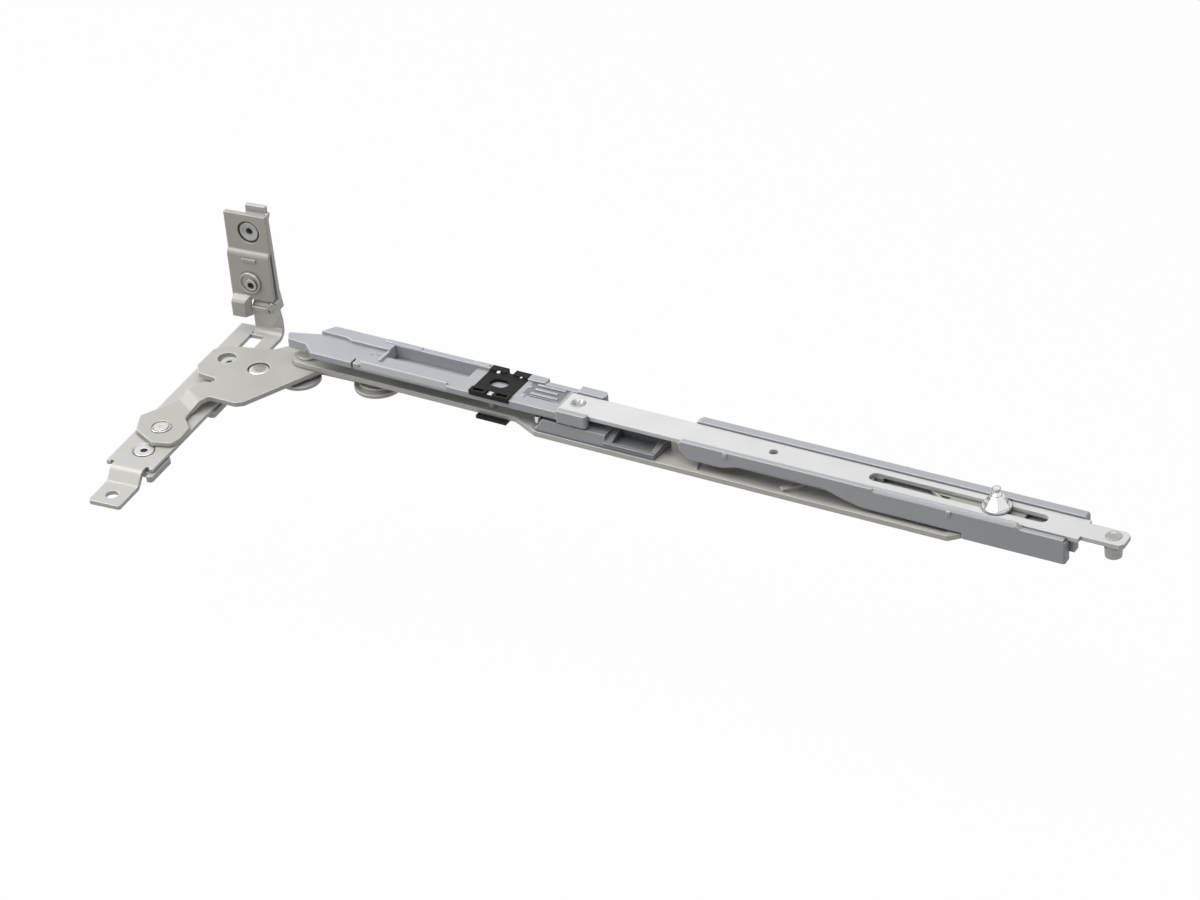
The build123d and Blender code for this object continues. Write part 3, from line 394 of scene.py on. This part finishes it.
def turned(place, steps, tilt=0.0):
    """Round piece as a lathe makes it, from its foot up its outside and on over its face.

    Each step is a radius and a height, and may add a shift of its centre. The first two steps have
    the same radius."""
    radius, low = steps[0][:2]
    high = steps[1][1]
    bpy.ops.object.select_all(action="DESELECT")
    bpy.ops.mesh.primitive_cylinder_add(
        vertices=ROUND_SIDES,
        radius=radius * MM,
        depth=(high - low) * MM,
        location=(0, 0, (high + low) / 2 * MM),
    )
    piece = bpy.context.object
    bpy.ops.object.transform_apply(location=True, rotation=True, scale=True)
    bpy.ops.object.mode_set(mode="EDIT")
    bpy.ops.mesh.select_mode(type="FACE")
    bpy.ops.mesh.select_all(action="DESELECT")
    bpy.ops.object.mode_set(mode="OBJECT")
    for face in piece.data.polygons:
        face.select = face.normal.z > 0.9
    bpy.ops.object.mode_set(mode="EDIT")
    height = high
    centre = Vector((0, 0))
    for step in steps[2:]:
        shift = Vector(step[2:4]) if len(step) > 2 else centre
        move = Vector((*(shift - centre), step[1] - height)) * MM
        bpy.ops.mesh.extrude_region_move(TRANSFORM_OT_translate={"value": move})
        ratio = step[0] / radius
        bpy.ops.transform.resize(value=(ratio, ratio, 1))
        radius, height, centre = step[0], step[1], shift
    bpy.ops.object.mode_set(mode="OBJECT")
    piece.rotation_euler = (tilt, 0, 0)
    piece.location = place
    return piece


def bar(place, size, turn=RAIL_TURN, rounding=EDGE_ROUND):
    """Small bar with rounded edges."""
    bpy.ops.object.select_all(action="DESELECT")
    bpy.ops.mesh.primitive_cube_add(size=1, location=place, rotation=(0, 0, turn))
    piece = bpy.context.object
    piece.scale = [length * MM for length in size]
    bpy.ops.object.transform_apply(location=False, rotation=False, scale=True)
    edges = piece.modifiers.new("edges", "BEVEL")
    edges.width = rounding * MM
    edges.segments = 3
    bpy.ops.object.modifier_apply(modifier=edges.name)
    return piece


bpy.context.scene.view_settings.view_transform = "Standard"
set_camera()
make_floor()
make_surround()
add_lamp("overhead", (0.24, -0.02, 1.2), (0.2, 0.05, 0), 1.2, 10.4)
add_lamp("left", (-0.65, -0.12, 0.75), (0.05, 0.03, 0), 0.8, 7.0)
add_lamp("front", (-0.1, -1.5, 0.42), (0.15, 0.05, 0), 0.8, 1.8)

# Nickel-plated rolled steel: near white, satin, with faint rolling marks along the strip
strip_steel = satin(
    "satin_nickel_plated_strip", "#C6C5C1", "#F4F3F0", 0.2, 0.44, (0.22, 5.0, 0.012), edge_highlight_radius=0.7
)
# Zinc-plated pressed steel: a step greyer than the strip
plate_steel = satin(
    "zinc_plated_pressed_steel", "#BDBCB7", "#F0EFEB", 0.2, 0.46, (0.3, 2.0, 0.012), edge_highlight_radius=0.7
)
# The same plating on the upright plate and on the drive rod, its colour made darker as painted
# shade
shaded_upright_steel = satin(
    "zinc_plated_plate_painted_shade", "#B2B0AA", "#E6E4DE", 0.25, 0.44, (0.3, 2.0, 0.012)
)
# Passivated zinc on the long arm: a warm light grey, with rolling marks along it
arm_steel = satin(
    "warm_passivated_arm",
    "#C5C3BD",
    "#E3E1DC",
    0.25,
    0.42,
    (0.22, 6.0, 0.012),
    ALONG_RAIL,
    corner_shade=0.35,
)
# Light plating on the flat bar that faces the sash: the palest and flattest finish
face_steel = satin(
    "light_plated_flat_bar", "#E4E4E3", "#F8F8F7", 0.12, 0.46, (0.2, 6.0, 0.01), ALONG_RAIL
)
# Bright zinc on screws and rivets: clear small highlights
bright_zinc = satin(
    "bright_zinc_fastener",
    "#DDDDDB",
    "#F8F8F6",
    0.85,
    0.24,
    (0.25, 0.25, 0.008),
    edge_highlight_radius=0.15,
    corner_shade=0.9,
)
# The bright zinc on the upright plate's two screws and on the rail's rivet and end pin, softer and
# made grey as painted shade
shaded_zinc = satin(
    "zinc_fastener_painted_shade", "#B0AFAB", "#F2F1EE", 0.5, 0.28, (0.25, 0.25, 0.008), edge_highlight_radius=0.2, corner_shade=0.9
)
# Polished chromium plate on the cam: a mirror, with a dark edge colour as a painted reflection at
# its edges
chromium = satin(
    "polished_chromium_cam", "#E4E4E4", "#3C3C3E", 1.0, 0.12, (0.3, 0.3, 0.004), edge_highlight_radius=0.6, corner_shade=0.6
)
# Zinc die casting under a silver grey coating: smooth, slightly blue, finely granular
cast_zinc = satin(
    "silver_coated_die_casting", "#B7B9BD", "#ECEDF0", 0.12, 0.45, (0.45, 0.45, 0.03), edge_highlight_radius=0.8
)
# Bare zinc die casting of the guide block and the slide block: a step darker, less blue. On the
# seat's panel it stands as painted shade
bare_zinc = satin("bare_die_casting", "#888A8E", "#C8C9CC", 0.2, 0.42, (0.45, 0.45, 0.03))
# Dark discs of painted shade in the screws' drive sockets
socket_shade = satin("painted_socket_shade", "#2A2927", "#3A3937", 0.3, 0.5, (0.3, 0.3, 0.01))
# Moulded matt black nylon of the clip and the arm's rest
black_nylon = satin(
    "matt_black_nylon", "#121212", "#2E2E2D", 0.0, 0.55, (0.35, 0.35, 0.02), specular=0.2
)

dress(strip_steel, "frame_strip")
dress(plate_steel, "turning_plate", "inner_link", "support_link", "link_rivet", "clamp_blocks")
dress(shaded_upright_steel, "front_plate", "drive_rod")
dress(arm_steel, "stay_arm", "peg", "arm_rivet")
dress(face_steel, "faceplate")
dress(bright_zinc, "strip_screws", "ear_rivet", "knee_rivet", "support_rivet")
dress(bright_zinc, "roller_pin", "slide_pin")
dress(shaded_zinc, "upper_screw", "eccentric_screw", "faceplate_rivet", "end_pin")
dress(chromium, "cam")
dress(cast_zinc, "left_carrier", "right_carrier")
dress(bare_zinc, "guide_block", "slide_block")
dress(black_nylon, "plastic_clip", "arm_pad")

# Strip screws: bright countersunk heads with a wide socket, and a dark disc of painted shade in it
first_screw, *other_screws = (25.4, 61.4, 93.0)
screw = turned(
    on_frame(0, first_screw, 0),
    (
        (2.0, -1.8),
        (2.0, 2.2),
        (4.05, 4.35),
        (4.05, 4.45),
        (3.9, 4.6),
        (1.55, 4.6),
        (1.4, 4.4),
        (1.4, 3.6),
        (0.2, 3.6),
    ),
)
finish(screw, "strip_screw_1", "frame_side", bright_zinc, "strip_screws")
# A dark disc of painted shade at the socket's bottom
socket = turned(on_frame(0, first_screw, 0), ((1.3, 3.62), (1.3, 4.1), (1.1, 4.2), (0.3, 4.2)))
finish(socket, "strip_socket_1", "frame_side", socket_shade)
for number, y in enumerate(other_screws, 2):
    shift = on_frame(0, y - first_screw, 0)
    again(screw, "strip_screw_%d" % number, shift, "frame_side")
    again(socket, "strip_socket_%d" % number, shift, "frame_side")

# Ear rivet: low head with a groove inside its rim and a small dimple
piece = turned(
    on_frame(0, 39, 0),
    (
        (2.5, 2.9),
        (2.5, 6.9),
        (4.15, 6.9),
        (4.15, 7.15),
        (4.0, 7.3),
        (3.85, 7.3),
        (3.7, 6.8),
        (3.15, 6.8),
        (2.9, 7.25),
        (2.5, 7.36),
        (0.85, 7.36),
        (0.7, 7.05),
        (0.2, 7.05),
    ),
)
finish(piece, "dished_ear_rivet", "frame_side", bright_zinc, "ear_rivet")

# Link rivet: its face is slightly crowned
piece = turned(
    on_frame(18.4, 85.5, 0),
    (
        (3.0, 6.5),
        (3.0, 8.0),
        (4.4, 8.0),
        (4.4, 9.3),
        (4.2, 9.5),
        (3.5, 9.78),
        (2.5, 9.9),
        (1.2, 9.93),
        (0.3, 9.93),
    ),
)
finish(piece, "crowned_link_rivet", "turning_plate", bright_zinc, "link_rivet")

# Upper screw: flat rim, and a face that sinks to its socket
facing_front = math.radians(90)
piece = turned(
    on_frame(0.1, LEG_FRONT, 50.7),
    (
        (2.0, -1.8),
        (2.0, 0.8),
        (4.25, 0.8),
        (4.25, 1.45),
        (4.0, 1.68),
        (3.3, 1.68),
        (2.9, 1.45),
        (1.6, 1.25),
        (1.45, 0.5),
        (0.2, 0.4),
    ),
    facing_front,
)
finish(piece, "dished_upper_screw", "frame_side", shaded_zinc, "upper_screw")

# Eccentric: rounded rim round a smaller ring and socket that sit off its middle
piece = turned(
    on_frame(-1.2, LEG_FRONT, 27.7),
    (
        (2.0, -1.8),
        (2.0, 0.0),
        (4.2, 0.0),
        (4.2, 3.55),
        (4.9, 3.55),
        (4.95, 3.8),
        (4.7, 4.35),
        (4.3, 4.55),
        (3.9, 4.4),
        (3.6, 3.9),
        (2.95, 3.9, 0.5, -0.7),
        (2.75, 4.5, 0.5, -0.7),
        (2.5, 4.68, 0.5, -0.7),
        (1.5, 4.68, 0.6, -0.8),
        (1.35, 3.7, 0.6, -0.8),
        (0.2, 3.6, 0.6, -0.8),
    ),
    facing_front,
)
finish(piece, "stepped_eccentric", "frame_side", shaded_zinc, "eccentric_screw")

# Neck of the leg: its upper edge stands forward under the front plate, along the sill and up the
# shoulder, and each bar thins to its back at the foot
neck_middle = 117.9
neck_depth = 1.3
neck_back = neck_middle + neck_depth / 2
neck_bars = ((1.75, 15.2, 7.5, 0.0), (7.33, 17.17, 4.0, -45.0))
for number, (x, z, length, turn) in enumerate(neck_bars, 1):
    piece = bar(on_frame(x, neck_middle, z), (length, neck_depth, 3.2), turn=0.0)
    select_only(piece)
    bpy.ops.object.mode_set(mode="EDIT")
    bpy.ops.mesh.select_all(action="DESELECT")
    bpy.ops.object.mode_set(mode="OBJECT")
    for corner in piece.data.vertices:
        corner.select = corner.co.z < 0
    bpy.ops.object.mode_set(mode="EDIT")
    bpy.ops.transform.resize(value=(1, 0.1, 1), center_override=on_frame(x, neck_back, z))
    bpy.ops.object.mode_set(mode="OBJECT")
    piece.rotation_euler = (0, math.radians(turn), 0)
    finish(piece, "neck_edge_%d" % number, "frame_side", strip_steel)

# Dark discs of painted shade at the bottoms of the two sockets on the upright plate
for number, (x, z, high) in enumerate(((0.1, 50.7, 0.4), (-0.6, 26.9, 3.6)), 1):
    steps = ((1.2, high + 0.02), (1.2, high + 0.2), (1.0, high + 0.3), (0.3, high + 0.3))
    piece = turned(on_frame(x, LEG_FRONT, z), steps, facing_front)
    finish(piece, "plate_socket_shade_%d" % number, "frame_side", socket_shade)

# Faceplate rivet: low rim round a dimple
piece = turned(
    on_rail(125.3, 0, 0),
    ((3.0, 19.9), (3.0, 21.7), (2.9, 21.95), (2.6, 22.05), (2.2, 21.8), (1.2, 20.6), (0.3, 20.5)),
)
finish(
    piece, "dimpled_faceplate_rivet", "sash_rail", shaded_zinc, "faceplate_rivet"
)

# End pin: turned pin under the tab, with a groove and a small dish in its riveted head
piece = turned(
    on_rail(345.8, 0, 0),
    (
        (3.2, 13.4),
        (3.5, 13.7),
        (3.5, 17.6),
        (3.3, 17.8),
        (3.3, 18.2),
        (3.5, 18.4),
        (3.5, 19.9),
        (3.0, 19.9),
        (3.0, 21.8),
        (2.85, 21.98),
        (2.3, 21.98),
        (1.9, 21.75),
        (0.3, 21.7),
    ),
)
finish(piece, "turned_end_pin", "sash_rail", shaded_zinc, "end_pin")

# Guide block: a copy of the CAD one, with its corner cut away round the roller pin
notched = bpy.data.objects.new("guide_block_copy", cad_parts["guide_block"].data.copy())
bpy.context.scene.collection.objects.link(notched)
select_only(notched)
bpy.ops.object.mode_set(mode="EDIT")
bpy.ops.mesh.select_all(action="SELECT")
bpy.ops.mesh.remove_doubles(threshold=0.001 * MM)
bpy.ops.object.mode_set(mode="OBJECT")
bpy.ops.object.select_all(action="DESELECT")
bpy.ops.mesh.primitive_cylinder_add(
    vertices=ROUND_SIDES, radius=3.2 * MM, depth=4 * MM, location=on_rail(110.9, -8.2, 15.3)
)
cutter = bpy.context.object
select_only(notched)
notch = notched.modifiers.new("notch", "BOOLEAN")
notch.operation = "DIFFERENCE"
notch.object = cutter
bpy.ops.object.modifier_apply(modifier=notch.name)
bpy.data.objects.remove(cutter)
finish(
    notched, "notched_guide_block", "stay_arm", bare_zinc, "guide_block", crease=8
)

# Left carrier's seat: a dark panel of painted shade over its floor, and ridges beside its grooves
piece = bar(on_rail(110.2, 1.5, 21.75), (16.5, 9.4, 0.3), rounding=0.1)
finish(piece, "seat_shade_panel", "sash_rail", bare_zinc)
seat_ridges = ((111.1, 4.6, 12.7), (110.5, 1.5, 10.0), (111.2, -1.6, 12.0))
for number, (u, v, length) in enumerate(seat_ridges, 1):
    piece = bar(on_rail(u, v, 21.9), (length, 1.3, 1.0), rounding=0.3)
    finish(piece, "seat_ridge_%d" % number, "sash_rail", cast_zinc)

# Left carrier: two eyes by the pocket, and pads on the lip
pocket_floor = 20.9
eye_top = pocket_floor + 0.35
for number, (u, v, radius) in enumerate(((31.3, -0.8, 0.8), (34.0, 0.1, 1.0)), 1):
    steps = (
        (radius, pocket_floor),
        (radius, eye_top - 0.1),
        (radius - 0.1, eye_top),
        (radius - 0.3, eye_top),
        (radius - 0.4, eye_top - 0.2),
    )
    piece = turned(on_rail(u, v, 0), steps)
    finish(piece, "pocket_eye_%d" % number, "sash_rail", cast_zinc)
for number, (u, length) in enumerate(((41.5, 17.0), (77.6, 6.6)), 1):
    piece = bar(on_rail(u, 8.2, 22.65), (length, 2.2, 0.5), rounding=0.2)
    finish(piece, "lip_pad_%d" % number, "sash_rail", cast_zinc)

# Plastic clip: metal pegs and a tongue that show in its openings
for number, (u, v, radius) in enumerate(((85.8, 6.7, 1.0), (96.1, 6.6, 0.65)), 1):
    steps = ((radius, 20.3), (radius, 21.9), (radius * 0.8, 22.2), (radius * 0.4, 22.3))
    piece = turned(on_rail(u, v, 0), steps)
    finish(piece, "clip_peg_%d" % number, "sash_rail", bright_zinc)
piece = bar(on_rail(90.45, -7.6, 21.1), (2.3, 2.3, 1.5), rounding=0.2)
finish(piece, "clip_tongue", "sash_rail", bright_zinc)
